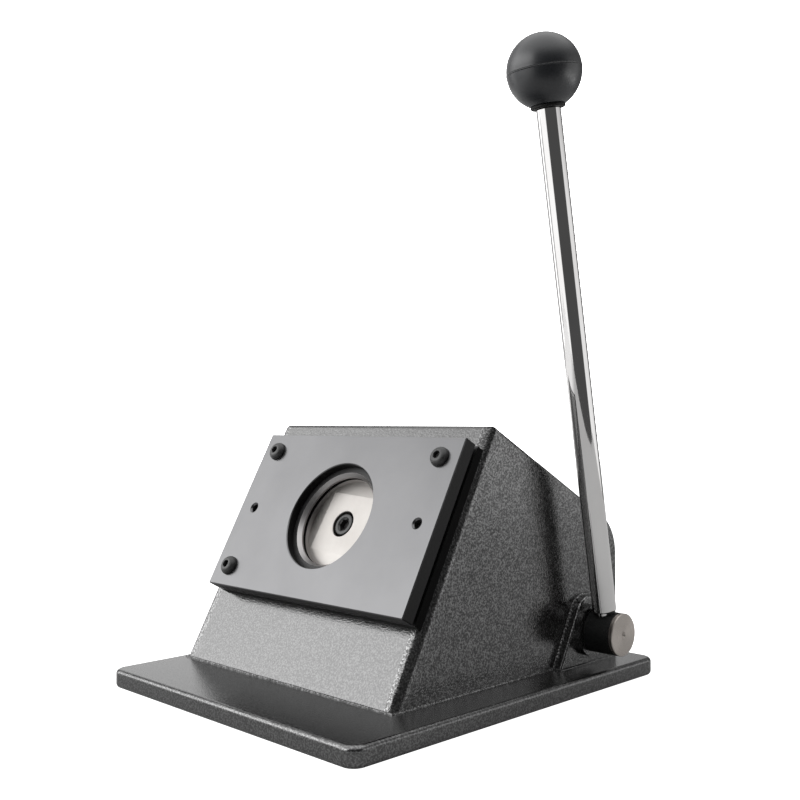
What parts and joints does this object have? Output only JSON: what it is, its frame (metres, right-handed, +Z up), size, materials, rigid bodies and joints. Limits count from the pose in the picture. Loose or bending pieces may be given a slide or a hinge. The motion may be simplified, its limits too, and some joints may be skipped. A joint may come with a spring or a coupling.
{
  "type": "button badge paper punch",
  "caption": "Lever-operated bench punch that cuts round paper discs for button badges through a slot and a round window on a sloping steel housing.",
  "frame": {"origin": "centre of the base plate's underside", "axes": "+X to the right of a person facing the window (the lever's side), +Y to the back, +Z up"},
  "size_m": [0.2713, 0.305, 0.4484],
  "materials": {
    "base_paint": "dark grey powder coat with a fine silver vein",
    "housing_paint": "dark grey powder coat with a fine silver vein",
    "plate_black": "satin black",
    "oxide_black": "black oxide",
    "ground_steel": "ground",
    "polished_steel": "polished",
    "machined_steel": "machined",
    "spring_steel": "oiled",
    "bronze": "machined",
    "turned_steel": "turned",
    "hub_black": "matte black",
    "rod_chrome": "polished chrome",
    "knob_black": "satin gloss"
  },
  "bodies": {
    "frame": {"base_plate": "base_paint", "foot_rail_left": "housing_paint", "foot_rail_right": "housing_paint", "side_plate_left": "housing_paint", "side_plate_right": "housing_paint", "base_screws": "oxide_black", "housing_shell": "housing_paint", "bearing_bracket": "housing_paint", "bush_right": "bronze", "bush_left": "bronze", "guide_plate": "plate_black", "guide_ring": "ground_steel", "slot_spacers": "ground_steel", "window_plate": "plate_black", "die_ring": "ground_steel", "head_screws": "oxide_black", "dowel_pins": "ground_steel", "guide_sleeve": "machined_steel", "sleeve_bush": "bronze", "sleeve_screws": "oxide_black", "return_spring": "spring_steel"},
    "ram_unit": {"punch": "polished_steel", "punch_screw": "oxide_black", "ram": "ground_steel", "spring_collar": "machined_steel", "collar_ring": "oxide_black", "cam_pad": "machined_steel"},
    "lever": {"drive_shaft": "turned_steel", "cam": "machined_steel", "cam_key": "machined_steel", "lever_hub": "hub_black", "lever_rod": "rod_chrome", "knob_insert": "hub_black", "ball_knob": "knob_black", "thrust_washer": "bronze", "shaft_clip": "oxide_black"}
  },
  "joints": [
    {"name": "lever_swing", "type": "hinge", "parent": "frame", "child": "lever", "pos_m": [0, 0.1005, 0.0368], "axis": [1, 0, 0], "range_deg": [0, 70], "stiffness_Nm_per_rad": 1.1, "springref_deg": -28.65},
    {"name": "ram_slide", "type": "slide", "parent": "frame", "child": "ram_unit", "axis": [0, -0.8788, 0.4772], "range_m": [0, 0.0104], "deforming": ["return_spring"]}
  ],
  "couplings": [
    {"joint": "ram_slide", "follows": "lever_swing", "m_per_rad": 0.0085}
  ]
}
